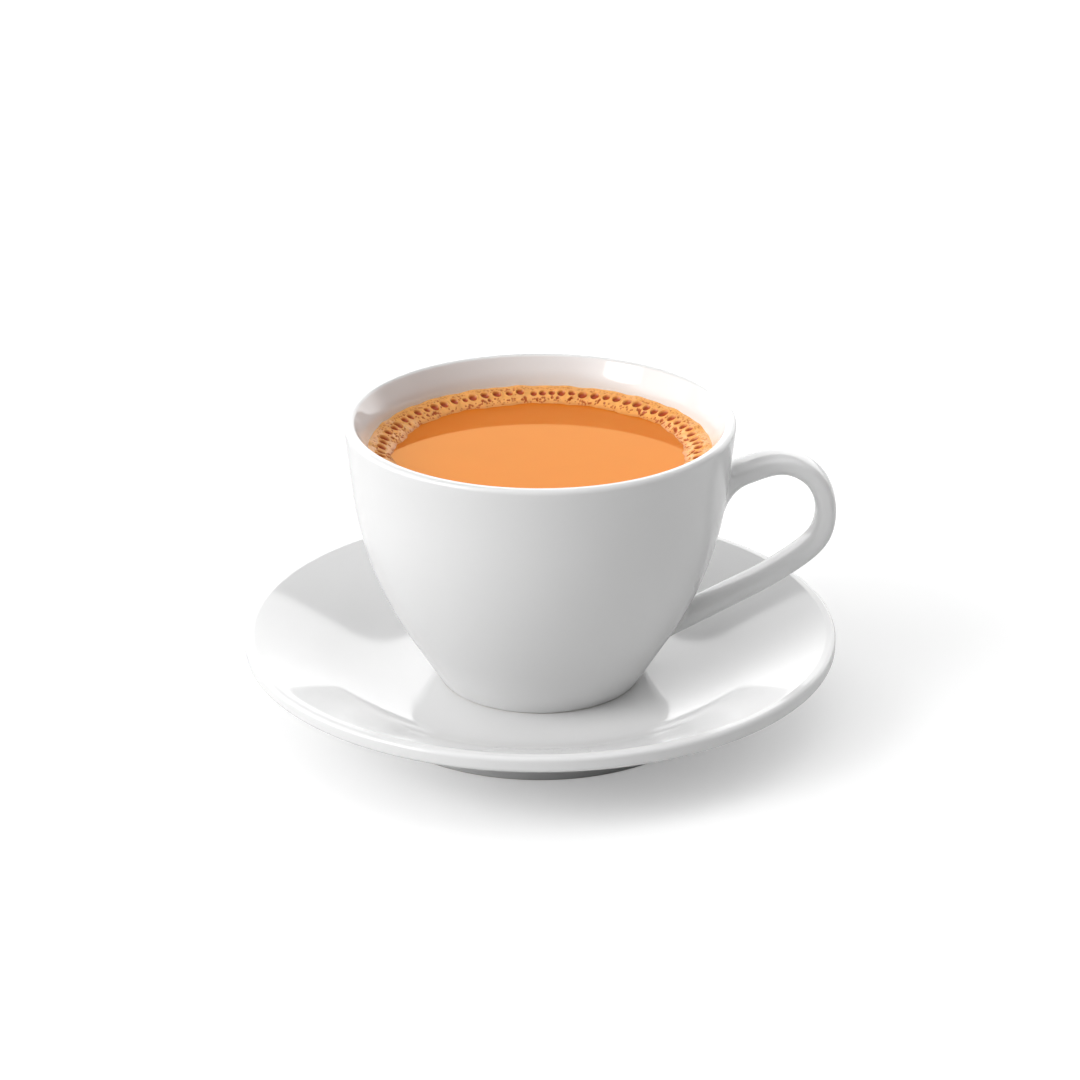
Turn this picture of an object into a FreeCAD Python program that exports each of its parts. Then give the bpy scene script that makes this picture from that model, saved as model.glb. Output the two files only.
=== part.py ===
"""Masala chai in a porcelain cup that stands on its saucer.

Millimetres, +Z up.  The origin is on the table, on the common axis of the cup and
the saucer, and the handle reaches along +X.  Four pieces: saucer, cup (with its
handle), chai and the ring of froth that floats on the chai along the wall.
"""
import FreeCAD, Part
import math
import os
import Sketcher

SIZES = [
    # saucer, measured from the table
    ("saucer_radius", 73.3, "largest radius, at the lip"),
    ("saucer_height", 21.2, "top of the lip"),
    ("saucer_lip", 2.4, "width of the lip's top"),
    ("saucer_lip_round", 1.1, "rounding of the lip's edges"),
    ("well_height", 8.7, "top of the flat well, where the cup stands"),
    ("slope_radius", 42.8, "radius at which the slope's line meets the well"),
    ("slope_round", 48.6, "curve from the well into the slope"),
    ("plate_thickness", 4.1, "thickness of the plate"),
    ("ring_radius", 43.7, "outer radius of the saucer's foot ring"),
    ("ring_width", 3.2, "width of the foot ring"),
    ("ring_draft", 0.8, "how much wider the ring is where it meets the plate"),
    ("ring_round", 0.8, "rounding of the ring's edges"),
    # cup, measured from its own base
    ("cup_height", 67.3, "height of the lip"),
    ("rim_radius", 47.5, "largest radius, at the lip"),
    ("lip_thickness", 2.4, "thickness of the lip"),
    ("lip_round", 1.1, "rounding of the lip's edges"),
    ("belly_radius", "=rim_radius - 3.7", "radius at which the two wall lines meet"),
    ("belly_height", "=0.4517 * cup_height", "height at which the two wall lines meet"),
    ("belly_round", "=1.3076 * cup_height", "curve between the two wall lines"),
    ("foot_radius", "=0.5305 * rim_radius", "radius at the base"),
    ("foot_width", 3.6, "width of the standing ring"),
    ("foot_recess", 1.5, "depth of the recess inside the standing ring"),
    ("foot_round", 0.7, "rounding of the standing ring's outer edge"),
    ("wall_thickness", 5.1, "thickness of the wall"),
    ("floor_thickness", 5.5, "thickness of the floor"),
    ("floor_round", 14.0, "curve between the floor and the wall, inside"),
    ("shoulder_depth", 5.4, "depth at which the wall starts to thin to the lip"),
    ("shoulder_round", 10.0, "curve where the wall starts to thin"),
    # handle, along its middle line
    ("handle_reach", 22.4, "from the largest radius out to the crown's far side"),
    ("handle_drop", "=0.3626 * cup_height", "from the lip down to the crown's centre"),
    ("crown_half_width", 11.0, "half width of the crown"),
    ("crown_half_height", "=0.1917 * cup_height", "half height of the crown"),
    ("upper_root_drop", "=0.2318 * cup_height", "from the lip down to the upper root"),
    ("upper_root_lean", 22.0, "rise of the upper arm, degrees"),
    ("upper_arm_step", 3.5, "from the upper root to the strap's second section"),
    ("upper_arm_run", 7.8, "from the upper root to the end of the upper arm"),
    ("upper_arm_swell", 0.6, "how much thicker than the strap the upper arm ends"),
    ("lower_root_height", "=0.2021 * cup_height", "height of the lower root on the wall"),
    ("lower_arm_inset", 14.34, "from the crown's far side in to the lower arm's far end"),
    ("lower_arm_rise", "=0.1815 * cup_height", "rise of the lower arm"),
    ("lower_arm_across", "=rim_radius + handle_reach - lower_arm_inset - foot_radius"
     " - lower_root_height * (belly_radius - foot_radius) / belly_height",
     "how far out the lower arm runs"),
    ("lower_arm_run", "=sqrt(lower_arm_rise ^ 2 + lower_arm_across ^ 2)",
     "length of the straight lower arm"),
    ("lower_arm_lean", "=atan2(lower_arm_rise; lower_arm_across) / 1 deg",
     "rise of the lower arm, degrees"),
    ("lower_arm_turn", 2.0, "how much the lower arm has turned by its far end, degrees"),
    ("lower_arm_swell", 0.2, "how much thicker than the strap the lower arm is halfway"),
    ("heel_inset", 6.7, "from the crown's far side in to the heel"),
    ("heel_drop", "=0.1753 * cup_height", "from the crown's centre down to the heel"),
    ("heel_lean", 41.0, "rise of the handle at the heel, degrees"),
    ("handle_thickness", 5.1, "thickness of the strap, across the finger gap"),
    ("handle_width", 8.6, "width of the strap"),
    ("root_bulge", 1.0, "how much wider the strap is at the wall"),
    ("upper_root_thickness", 10.6, "thickness of the upper root at the wall"),
    ("root_depth", 2.0, "how deep the roots reach into the wall"),
    # drink, measured from the cup's base
    ("fill_drop", 9.6, "from the lip down to the chai"),
    ("froth_width", 6.2, "width of the froth ring"),
    ("froth_rise", 2.6, "height of the froth at the wall"),
    ("froth_edge", 0.8, "height of the froth at its inner edge"),
]

# Control points of a strap section, as shares of its half thickness and half width.
# They make an oval that is squarer than an ellipse and reaches its full size.
AXIS_POLE = 1.05
CORNER_POLE = 0.9
SECTION_POLES = [
    (AXIS_POLE, 0), (CORNER_POLE, CORNER_POLE), (0, AXIS_POLE), (-CORNER_POLE, CORNER_POLE),
    (-AXIS_POLE, 0), (-CORNER_POLE, -CORNER_POLE), (0, -AXIS_POLE), (CORNER_POLE, -CORNER_POLE),
]

# Places round the crown of the handle, in degrees up from its far side.
CROWN_ANGLES = (90, 45, 0, -28)

# Angles of the wall lines from upright, and the inner wall that runs parallel to them.
LOWER_LEAN = "atan2(belly_radius - foot_radius; belly_height)"
UPPER_LEAN = "atan2(rim_radius - belly_radius; cup_height - belly_height)"
MIDDLE_LEAN = f"(({LOWER_LEAN} + {UPPER_LEAN}) / 2)"
HALF_TURN = f"(({LOWER_LEAN} - {UPPER_LEAN}) / 2)"
SLOPE_LEAN = "atan2(saucer_height - well_height; saucer_radius - saucer_lip - slope_radius)"
FILL_HEIGHT = "(cup_height - fill_drop)"


def inner_wall_radius(height):
    """Inner radius of the cup's upper wall at a height, as an expression."""
    return (f"(belly_radius + ({height} - belly_height) * tan({UPPER_LEAN})"
            f" - wall_thickness / cos({UPPER_LEAN}))")


def lower_wall_radius(height):
    """Outer radius of the cup's lower wall at a height, as an expression."""
    return f"(foot_radius + ({height}) * tan({LOWER_LEAN}))"


def inner_floor_radius():
    """Radius at which the inner lower wall would meet the floor, as an expression."""
    return f"({lower_wall_radius('floor_thickness')} - wall_thickness / cos({LOWER_LEAN}))"


# The cavity, from the middle of the floor up to the end of the plain wall.
CAVITY = [
    ("0", "floor_thickness", None),
    (inner_floor_radius(), "floor_thickness", "floor_round"),
    (f"belly_radius - wall_thickness * cos({MIDDLE_LEAN}) / cos({HALF_TURN})",
     f"belly_height + wall_thickness * sin({MIDDLE_LEAN}) / cos({HALF_TURN})",
     "belly_round - wall_thickness"),
]


def fill_sheet(doc):
    """Write the sizes into a spreadsheet and give each an alias; some follow from others."""
    sheet = doc.addObject("Spreadsheet::Sheet", "Sizes")
    for row, (name, value, note) in enumerate(SIZES, start=1):
        sheet.set(f"A{row}", name)
        sheet.set(f"B{row}", str(value))
        sheet.setAlias(f"B{row}", name)
        sheet.set(f"C{row}", note)
    doc.recompute()
    return sheet


def bound(expression):
    """The expression with every size's name pointing at the spreadsheet."""
    names = sorted((name for name, _, _ in SIZES), key=len, reverse=True)
    words = expression
    for index, name in enumerate(names):
        words = words.replace(name, f"<{index}>")
    for index, name in enumerate(names):
        words = words.replace(f"<{index}>", f"Sizes.{name}")
    return words


def value_of(sheet, expression):
    """The number that an expression has now, angles in degrees."""
    found = sheet.evalExpression(bound(expression))
    return float(getattr(found, "Value", found))


def new_body(doc, name):
    """An empty body whose label names the piece."""
    body = doc.addObject("PartDesign::Body", name)
    body.Label = name
    return body


def origin_plane(body, role):
    """One of the body's own origin planes."""
    return next(plane for plane in body.Origin.OriginFeatures if plane.Role == role)


def new_sketch(body, name, role):
    """A sketch on one of the body's origin planes."""
    sketch = body.newObject("Sketcher::SketchObject", name)
    sketch.AttachmentSupport = [(origin_plane(body, role), "")]
    sketch.MapMode = "FlatFace"
    return sketch


def set_constraint(sketch, kind, places, sheet, expression):
    """Add a dimension and bind it to its expression."""
    number = value_of(sheet, expression)
    index = sketch.addConstraint(Sketcher.Constraint(kind, *places, number))
    sketch.setExpression(f"Constraints[{index}]", bound(expression))


def rounded_corner(before, corner, after, radius):
    """Tangent points, centre and turning side of the arc that rounds a corner."""
    to_before = (before - corner).normalize()
    to_after = (after - corner).normalize()
    half_angle = to_before.getAngle(to_after) / 2
    tangent = radius / math.tan(half_angle)
    middle = (to_before + to_after).normalize()
    centre = corner + middle * (radius / math.sin(half_angle))
    return corner + to_before * tangent, corner + to_after * tangent, centre


def draw_outline(sketch, sheet, corners):
    """Draw a closed outline of straight runs whose corners may be rounded by arcs.

    Each corner is (x, y, rounding), all expressions; a sharp corner has no rounding.
    A rounded corner keeps a construction point where its two straight runs would meet.
    """
    points = [FreeCAD.Vector(value_of(sheet, x), value_of(sheet, y), 0) for x, y, _ in corners]
    count = len(points)
    arcs = []
    for index, (_, _, rounding) in enumerate(corners):
        if rounding is None:
            arcs.append((points[index], points[index], None))
        else:
            arcs.append(rounded_corner(points[index - 1], points[index], points[(index + 1) % count],
                                       value_of(sheet, rounding)))
    lines = []
    for index in range(count):
        start, end = arcs[index][1], arcs[(index + 1) % count][0]
        lines.append(sketch.addGeometry(Part.LineSegment(start, end), False))
    for index, (x, y, rounding) in enumerate(corners):
        before, after = lines[index - 1], lines[index]
        if rounding is None:
            sketch.addConstraint(Sketcher.Constraint("Coincident", before, 2, after, 1))
            held = (after, 1)
        else:
            start, end, centre = arcs[index]
            radius = (start - centre).Length
            first = math.atan2(start.y - centre.y, start.x - centre.x)
            last = math.atan2(end.y - centre.y, end.x - centre.x)
            leftward = (start - centre).cross(end - centre).z > 0
            if not leftward:
                first, last = last, first
            circle = Part.Circle(centre, FreeCAD.Vector(0, 0, 1), radius)
            arc = sketch.addGeometry(Part.ArcOfCircle(circle, first, last), False)
            arc_start, arc_end = (1, 2) if leftward else (2, 1)
            sketch.addConstraint(Sketcher.Constraint("Tangent", before, 2, arc, arc_start))
            sketch.addConstraint(Sketcher.Constraint("Tangent", arc, arc_end, after, 1))
            set_constraint(sketch, "Radius", (arc,), sheet, rounding)
            corner = sketch.addGeometry(Part.Point(points[index]), True)
            sketch.addConstraint(Sketcher.Constraint("PointOnObject", corner, 1, before))
            sketch.addConstraint(Sketcher.Constraint("PointOnObject", corner, 1, after))
            held = (corner, 1)
        set_constraint(sketch, "DistanceX", (-1, 1) + held, sheet, x)
        set_constraint(sketch, "DistanceY", (-1, 1) + held, sheet, y)


def revolve(body, sheet, name, corners):
    """A solid of revolution about the body's upright axis from a closed outline."""
    sketch = new_sketch(body, name + "_outline", "XZ_Plane")
    draw_outline(sketch, sheet, corners)
    feature = body.newObject("PartDesign::Revolution", name + "_turned")
    feature.Profile = sketch
    feature.ReferenceAxis = (sketch, ["V_Axis"])
    feature.Angle = 360
    return feature


def stand_cup_height(body):
    """Lift a piece that belongs to the cup onto the saucer's well."""
    body.setExpression("Placement.Base.z", bound("well_height"))


def make_saucer(doc, sheet):
    """Saucer: flat well, curved slope, rounded lip and a foot ring."""
    underside = "(well_height - plate_thickness)"
    under_corner = f"(slope_radius + plate_thickness * tan({SLOPE_LEAN} / 2))"
    ring_top = "(ring_radius + ring_draft)"

    def under_slope(radius):
        """Height of the underside below the slope, parallel to it."""
        return f"{underside} + ({radius} - {under_corner}) * tan({SLOPE_LEAN})"

    body = new_body(doc, "saucer")
    revolve(body, sheet, "saucer", [
        ("0", "well_height", None),
        ("0", underside, None),
        ("ring_radius - ring_width - ring_draft", underside, "ring_round"),
        ("ring_radius - ring_width", "0", "ring_round"),
        ("ring_radius", "0", "ring_round"),
        (ring_top, under_slope(ring_top), "ring_round"),
        ("saucer_radius", under_slope("saucer_radius"), "saucer_lip_round"),
        ("saucer_radius", "saucer_height", "saucer_lip_round"),
        ("saucer_radius - saucer_lip", "saucer_height", "saucer_lip_round"),
        ("slope_radius", "well_height", "slope_round"),
    ])
    return body


def cup_outline():
    """Half section of the cup, from the base up the outside, over the lip and back."""
    shoulder = "(cup_height - shoulder_depth)"
    return [
        ("0", "foot_recess", None),
        ("foot_radius - foot_width - foot_recess / 2", "foot_recess", None),
        ("foot_radius - foot_width", "0", None),
        ("foot_radius", "0", "foot_round"),
        ("belly_radius", "belly_height", "belly_round"),
        ("rim_radius", "cup_height", "lip_round"),
        ("rim_radius - lip_thickness", "cup_height", "lip_round"),
        (inner_wall_radius(shoulder), shoulder, "shoulder_round"),
    ] + CAVITY[::-1]


def handle_stations():
    """Places along the handle's middle line, from the upper root to the lower one.

    Each is (x, z, direction of the middle line in degrees, thickness, width).
    """
    crown_x = "(rim_radius + handle_reach - crown_half_width)"
    crown_z = "(cup_height - handle_drop)"
    wide = "(handle_width + root_bulge)"
    upper_x = "(rim_radius - root_depth)"
    upper_z = "(cup_height - upper_root_drop)"
    lower_x = lower_wall_radius("lower_root_height")
    slant = f"cos({LOWER_LEAN} + lower_arm_lean * 1 deg)"
    stations = [
        (upper_x, upper_z, "0 deg", "upper_root_thickness", f"{wide} + root_bulge"),
        (f"{upper_x} + upper_arm_step * cos(upper_root_lean)",
         f"{upper_z} + upper_arm_step * sin(upper_root_lean)", "upper_root_lean * 1 deg",
         "(upper_root_thickness + handle_thickness - upper_arm_swell) / 2", wide),
        (f"{upper_x} + upper_arm_run * cos(upper_root_lean)",
         f"{upper_z} + upper_arm_run * sin(upper_root_lean)", "upper_root_lean * 1 deg",
         "handle_thickness + upper_arm_swell", wide),
    ]
    for angle in CROWN_ANGLES:
        stations.append((
            f"{crown_x} + crown_half_width * cos({angle})",
            f"{crown_z} + crown_half_height * sin({angle})",
            f"-1 * atan2(crown_half_height * cos({angle}); crown_half_width * sin({angle}))",
            "handle_thickness", "handle_width"))
    stations += [
        ("rim_radius + handle_reach - heel_inset", f"{crown_z} - heel_drop",
         "(heel_lean - 180) * 1 deg", "handle_thickness", "handle_width"),
        (f"{lower_x} + lower_arm_run * cos(lower_arm_lean)",
         "lower_root_height + lower_arm_run * sin(lower_arm_lean)",
         "(lower_arm_lean + lower_arm_turn - 180) * 1 deg", "handle_thickness", "handle_width"),
        (f"{lower_x} + lower_arm_run / 2 * cos(lower_arm_lean)",
         "lower_root_height + lower_arm_run / 2 * sin(lower_arm_lean)",
         "(lower_arm_lean - 180) * 1 deg", "handle_thickness + lower_arm_swell", "handle_width"),
        (f"{lower_x} - root_depth / {slant} * cos(lower_arm_lean)",
         f"lower_root_height - root_depth / {slant} * sin(lower_arm_lean)",
         f"-180 deg - {LOWER_LEAN}", f"(handle_thickness + root_bulge) / {slant}", wide),
    ]
    return stations


def strap_section(body, sheet, name, station):
    """One oval section of the handle's strap, square to its middle line."""
    x, z, direction, thickness, width = station
    sketch = new_sketch(body, name, "XY_Plane")
    turn = f"90 deg - ({direction})"
    sketch.AttachmentOffset = FreeCAD.Placement(
        FreeCAD.Vector(value_of(sheet, x), 0, value_of(sheet, z)),
        FreeCAD.Rotation(FreeCAD.Vector(0, 1, 0), value_of(sheet, turn)))
    sketch.setExpression("AttachmentOffset.Base.x", bound(x))
    sketch.setExpression("AttachmentOffset.Base.z", bound(z))
    sketch.setExpression("AttachmentOffset.Rotation.Angle", bound(turn))
    half_thickness, half_width = value_of(sheet, thickness) / 2, value_of(sheet, width) / 2
    poles = [FreeCAD.Vector(across * half_thickness, along * half_width, 0)
             for across, along in SECTION_POLES]
    curve = Part.BSplineCurve()
    count = len(poles)
    curve.buildFromPolesMultsKnots(poles, [1] * (count + 1), list(range(count + 1)), True, 3)
    oval = sketch.addGeometry(curve, False)
    sketch.exposeInternalGeometry(oval)
    for index, (across, along) in enumerate(SECTION_POLES):
        pole = (oval + 1 + index, 3)
        set_constraint(sketch, "DistanceX", (-1, 1) + pole, sheet, f"({thickness}) / 2 * {across}")
        set_constraint(sketch, "DistanceY", (-1, 1) + pole, sheet, f"({width}) / 2 * {along}")
    return sketch


def handle_spine(body, sheet, stations):
    """The handle's middle line: a smooth curve through the stations."""
    sketch = new_sketch(body, "handle_spine", "XZ_Plane")
    curve = Part.BSplineCurve()
    curve.interpolate([FreeCAD.Vector(value_of(sheet, x), value_of(sheet, z), 0)
                       for x, z, *_ in stations])
    spine = sketch.addGeometry(curve, False)
    sketch.exposeInternalGeometry(spine)
    knots = [index for index, item in enumerate(sketch.Geometry) if isinstance(item, Part.Point)]
    for knot, (x, z, *_) in zip(knots, stations):
        set_constraint(sketch, "DistanceX", (-1, 1, knot, 1), sheet, x)
        set_constraint(sketch, "DistanceY", (-1, 1, knot, 1), sheet, z)
    return sketch


def make_cup(doc, sheet):
    """Cup: thick turned wall with a thinned, rounded lip, and a strap handle."""
    body = new_body(doc, "cup")
    revolve(body, sheet, "cup", cup_outline())
    stations = handle_stations()
    sections = [strap_section(body, sheet, f"handle_section_{index}", station)
                for index, station in enumerate(stations, start=1)]
    handle = body.newObject("PartDesign::AdditivePipe", "handle")
    handle.Spine = (handle_spine(body, sheet, stations), ["Edge1"])
    handle.Profile = sections[0]
    handle.Sections = sections[1:]
    handle.Transformation = "Multisection"
    stand_cup_height(body)
    return body


def make_chai(doc, sheet):
    """Chai: fills the cup's cavity up to its level."""
    body = new_body(doc, "chai")
    revolve(body, sheet, "chai", [
        ("0", FILL_HEIGHT, None),
    ] + CAVITY + [
        (inner_wall_radius(FILL_HEIGHT), FILL_HEIGHT, None),
    ])
    stand_cup_height(body)
    return body


def make_froth(doc, sheet):
    """Froth: a low ring on the chai that climbs the wall."""
    top = f"({FILL_HEIGHT} + froth_rise)"
    inner = f"({inner_wall_radius(FILL_HEIGHT)} - froth_width)"
    body = new_body(doc, "froth_ring")
    revolve(body, sheet, "froth", [
        (inner, FILL_HEIGHT, None),
        (inner_wall_radius(FILL_HEIGHT), FILL_HEIGHT, None),
        (inner_wall_radius(top), top, None),
        (f"{inner} + froth_edge", f"{FILL_HEIGHT} + froth_edge", None),
    ])
    stand_cup_height(body)
    return body


def check_document(doc, bodies):
    """Stop if any object failed to compute or any piece isn't a sound solid."""
    for item in doc.Objects:
        if "Invalid" in item.State or "Error" in item.State:
            raise RuntimeError(f"{item.Label} failed: {item.State}")
    for body in bodies:
        if body.Shape.isNull() or not body.Shape.isValid() or len(body.Shape.Solids) != 1:
            raise RuntimeError(f"{body.Label} isn't one valid solid")


def main():
    doc = FreeCAD.newDocument("MasalaChai")
    sheet = fill_sheet(doc)
    bodies = [make_saucer(doc, sheet), make_cup(doc, sheet), make_chai(doc, sheet),
              make_froth(doc, sheet)]
    doc.recompute()
    check_document(doc, bodies)
    os.makedirs("parts", exist_ok=True)
    for body in bodies:
        body.Shape.exportStep(f"parts/{body.Label}.step")
        box = body.Shape.BoundBox
        print(f"{body.Label}: volume {body.Shape.Volume:.0f} mm3,"
              f" x {box.XMin:.2f} to {box.XMax:.2f}, z {box.ZMin:.2f} to {box.ZMax:.2f}")


main()
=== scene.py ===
"""Masala chai in a porcelain cup on its saucer, laid out as a small Blender add-on.

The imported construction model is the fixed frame.  Every piece made here is a numpy surface
in that frame, in metres: origin on the table under the cup's axis, handle along +X, +Z up.
"""
import math

import bpy
import numpy as np
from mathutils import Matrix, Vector


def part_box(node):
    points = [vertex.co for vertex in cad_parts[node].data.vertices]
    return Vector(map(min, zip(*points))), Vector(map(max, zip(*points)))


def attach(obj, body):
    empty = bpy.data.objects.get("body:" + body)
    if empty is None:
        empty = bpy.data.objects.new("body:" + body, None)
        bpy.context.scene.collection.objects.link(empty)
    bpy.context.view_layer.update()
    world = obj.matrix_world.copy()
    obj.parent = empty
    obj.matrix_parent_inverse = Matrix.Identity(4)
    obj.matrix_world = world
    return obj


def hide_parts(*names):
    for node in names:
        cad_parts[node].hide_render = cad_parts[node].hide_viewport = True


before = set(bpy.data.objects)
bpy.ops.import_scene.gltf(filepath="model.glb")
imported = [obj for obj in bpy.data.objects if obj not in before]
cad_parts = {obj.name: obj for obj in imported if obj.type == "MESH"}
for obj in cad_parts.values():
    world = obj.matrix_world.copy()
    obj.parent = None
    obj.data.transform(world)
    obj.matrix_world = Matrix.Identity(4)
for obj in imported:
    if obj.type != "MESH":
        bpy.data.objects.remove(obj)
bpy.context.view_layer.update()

MM = 0.001
TURN = 2 * math.pi

bl_info = {
    "name": "Masala chai",
    "version": (1, 0, 0),
    "blender": (4, 5, 0),
    "location": "View3D > Sidebar > Chai",
    "description": "Makes a cup of masala chai on its saucer, with its froth",
    "category": "Add Mesh",
}


# ---------------------------------------------------------------- properties

def length(name, size_mm, description):
    """A length property whose default is given in millimetres."""
    return bpy.props.FloatProperty(name=name, description=description, default=size_mm * MM,
                                   unit="LENGTH", precision=5)


def rise(name, degrees, description):
    """An angle property whose default is given in degrees."""
    return bpy.props.FloatProperty(name=name, description=description, subtype="ANGLE",
                                   default=math.radians(degrees))


def tint(name, hex_value, description):
    """A colour property whose default is given as an sRGB hex value."""
    return bpy.props.FloatVectorProperty(name=name, description=description, size=3,
                                         subtype="COLOR", min=0, max=1,
                                         default=linear(hex_value))


def linear(hex_value):
    """Turn an sRGB hex value into linear red, green and blue."""
    parts = [int(hex_value[place:place + 2], 16) / 255 for place in (1, 3, 5)]
    return [part / 12.92 if part <= 0.04045 else ((part + 0.055) / 1.055) ** 2.4
            for part in parts]


class ChaiSaucerSizes(bpy.types.PropertyGroup):
    """Section of the saucer, from the table up."""
    radius: length("Radius", 73.3, "Largest radius, at the lip")
    lip: length("Lip", 2.4, "Width of the lip's top")
    lip_round: length("Lip rounding", 1.1, "Rounding of the lip's edges")
    slope_radius: length("Slope radius", 42.8, "Radius at which the slope meets the well")
    slope_round: length("Slope rounding", 48.6, "Curve from the well into the slope")
    plate: length("Plate", 4.1, "Thickness of the plate")
    ring_radius: length("Ring radius", 43.7, "Outer radius of the foot ring")
    ring_width: length("Ring width", 3.2, "Width of the foot ring")
    ring_draft: length("Ring draft", 0.8, "How much wider the ring is at the plate")
    ring_round: length("Ring rounding", 0.8, "Rounding of the ring's edges")


class ChaiCupSizes(bpy.types.PropertyGroup):
    """Section of the cup, from its own base up."""
    rim_radius: length("Rim radius", 47.5, "Largest radius, at the lip")
    lip: length("Lip", 2.4, "Thickness of the lip")
    lip_round: length("Lip rounding", 1.1, "Rounding of the lip's edges")
    belly_radius: length("Belly radius", 43.8, "Radius at which the two wall lines meet")
    belly_height: length("Belly height", 30.4, "Height at which the two wall lines meet")
    belly_round: length("Belly rounding", 88.0, "Curve between the two wall lines")
    foot_radius: length("Foot radius", 25.2, "Radius at the base")
    foot_width: length("Foot width", 3.6, "Width of the standing ring")
    foot_recess: length("Foot recess", 1.5, "Depth of the recess under the floor")
    foot_round: length("Foot rounding", 0.7, "Rounding of the standing ring's edge")
    wall: length("Wall", 5.1, "Thickness of the wall")
    floor: length("Floor", 5.5, "Thickness of the floor")
    floor_round: length("Floor rounding", 14.0, "Curve between floor and wall, inside")
    shoulder_depth: length("Shoulder depth", 5.4, "Depth at which the wall starts to thin")
    shoulder_round: length("Shoulder rounding", 10.0, "Curve where the wall starts to thin")


class ChaiHandleSizes(bpy.types.PropertyGroup):
    """Middle line and section of the strap handle."""
    reach: length("Reach", 22.4, "From the largest radius out to the crown's far side")
    drop: length("Drop", 24.4, "From the lip down to the crown's centre")
    crown_width: length("Crown half width", 11.0, "Half width of the crown")
    crown_height: length("Crown half height", 12.9, "Half height of the crown")
    upper_drop: length("Upper root drop", 15.6, "From the lip down to the upper root")
    upper_lean: rise("Upper arm rise", 22, "Rise of the upper arm")
    lower_height: length("Lower root height", 13.6, "Height of the lower root on the wall")
    lower_lean: rise("Lower arm rise", 29, "Rise of the lower arm")
    lower_run: length("Lower arm", 25.2, "Length of the straight lower arm")
    heel_inset: length("Heel inset", 6.7, "From the crown's far side in to the heel")
    heel_drop: length("Heel drop", 11.8, "From the crown's centre down to the heel")
    thickness: length("Thickness", 5.1, "Thickness of the strap")
    width: length("Width", 8.6, "Width of the strap")
    bulge: length("Root bulge", 1.0, "How much wider the strap is towards the wall")
    depth: length("Root depth", 2.0, "How deep the roots reach into the wall")


class ChaiDrinkSizes(bpy.types.PropertyGroup):
    """Drink and froth."""
    froth_rise: length("Froth rise", 2.6, "Height of the froth at the wall")
    froth_width: length("Froth width", 6.2, "Usual width of the froth ring")
    large_bubble: length("Large bubble", 2.25, "Usual width of the large bubbles")
    row_inset: length("Row inset", 3.0, "From the wall in to the row of large bubbles")
    seed: bpy.props.IntProperty(name="Seed", default=7,
                                description="Start of the repeatable bubble layout")


class ChaiColours(bpy.types.PropertyGroup):
    """Colours of the finishes."""
    porcelain: tint("Porcelain", "#dedede", "White glaze over white body")
    biscuit: tint("Biscuit", "#e4ddd2", "Unglazed standing rings")
    chai: tint("Chai", "#cf6a1c", "Milky spiced tea")
    film: tint("Film", "#ffdfa0", "Warm film on the tea that mirrors the room")
    foam: tint("Foam", "#eaa75c", "Light foam between the bubbles")
    bubble: tint("Bubble", "#a83f06", "Tea seen through a bubble")
    floor: tint("Floor", "#dddddd", "Studio table")


# ------------------------------------------------------------ shape functions

# Longest step between two points of an outline, and the largest turn from one to the next.
STEP, STEP_TURN = 1.5 * MM, math.radians(6)


def round_corners(corners):
    """Outline through corners (across, up, rounding), each rounding a tangent arc.

    An arc of radius R in a corner of half angle h starts R / tan(h) before the corner and
    has its centre R / sin(h) from it, on the line that halves the corner.
    """
    places = np.array([corner[:2] for corner in corners], float)
    runs = []
    for index, (_, _, radius) in enumerate(corners):
        here = places[index]
        if not radius:
            runs.append(here[None])
            continue
        back = places[index - 1] - here
        on = places[(index + 1) % len(corners)] - here
        back, on = back / np.linalg.norm(back), on / np.linalg.norm(on)
        half = math.acos(np.clip(back @ on, -1, 1)) / 2
        middle = (back + on) / np.linalg.norm(back + on)
        centre = here + middle * radius / math.sin(half)
        first = here + back * radius / math.tan(half) - centre
        last = here + on * radius / math.tan(half) - centre
        sweep = math.pi - 2 * half
        count = int(max(3, math.ceil(sweep / STEP_TURN), math.ceil(sweep * radius / STEP)))
        share = np.linspace(0, 1, count + 1)[:, None]
        arc = (np.sin((1 - share) * sweep) * first + np.sin(share * sweep) * last) / math.sin(sweep)
        runs.append(centre + arc)
    return np.concatenate(runs)


def fill_runs(outline, step=STEP):
    """Add points along the straight runs of an outline so that none is longer than step."""
    ends = zip(outline[:-1], outline[1:])
    pieces = [np.linspace(start, end, max(1, math.ceil(np.linalg.norm(end - start) / step)),
                          endpoint=False) for start, end in ends]
    return np.concatenate(pieces + [outline[-1:]])


def turned(outline, columns):
    """Carry an outline (across, up) round the upright axis: x = across cos a, y = across sin a."""
    angle = np.arange(columns) / columns * TURN
    across, up = outline[:, :1], outline[:, 1:]
    return np.stack([across * np.cos(angle), across * np.sin(angle),
                     up + 0 * angle], axis=-1)


def natural_spline(knots, values, at):
    """Smooth curve through values: piecewise cubic whose bend is continuous and 0 at the ends."""
    gap = np.diff(knots)
    slope = np.diff(values, axis=0) / gap[:, None]
    count = len(knots)
    matrix = np.eye(count)
    right = np.zeros_like(values)
    inner = np.arange(1, count - 1)
    matrix[inner, inner - 1] = gap[:-1]
    matrix[inner, inner] = 2 * (gap[:-1] + gap[1:])
    matrix[inner, inner + 1] = gap[1:]
    right[inner] = 6 * (slope[1:] - slope[:-1])
    bend = np.linalg.solve(matrix, right)
    span = np.clip(np.searchsorted(knots, at) - 1, 0, count - 2)
    ahead = (at - knots[span])[:, None]
    behind = (knots[span + 1] - at)[:, None]
    width = gap[span][:, None]
    return ((bend[span] * behind ** 3 + bend[span + 1] * ahead ** 3) / (6 * width)
            + (values[span] / width - bend[span] * width / 6) * behind
            + (values[span + 1] / width - bend[span + 1] * width / 6) * ahead)


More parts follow.
